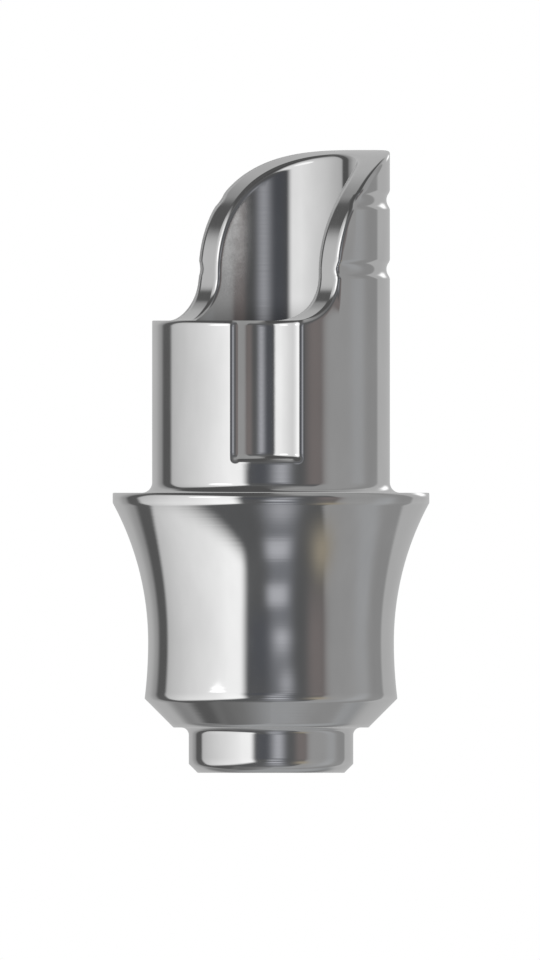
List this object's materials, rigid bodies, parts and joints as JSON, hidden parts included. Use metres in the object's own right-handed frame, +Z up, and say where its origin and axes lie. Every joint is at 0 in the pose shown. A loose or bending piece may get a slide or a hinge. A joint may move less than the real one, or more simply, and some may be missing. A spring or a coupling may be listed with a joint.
{
  "type": "dental abutment",
  "caption": "One-piece metal abutment for a dental implant: spigot and bevel below, waisted cuff and flange, and a hollow post with a swept side window and a front slot.",
  "frame": {"origin": "centre of the spigot's end face, on the axis of the screw channel", "axes": "+Z up the screw channel, out of the post; the post's window opens towards -Y; +X to the right when looking along +Y, and the front slot lies between -Y and +X"},
  "size_m": [0.0056, 0.0058, 0.0112],
  "materials": {
    "titanium": "polished turned titanium alloy, smooth and bright, with very fine turning lines"
  },
  "bodies": {
    "root": {"abutment": "titanium"}
  },
  "joints": []
}
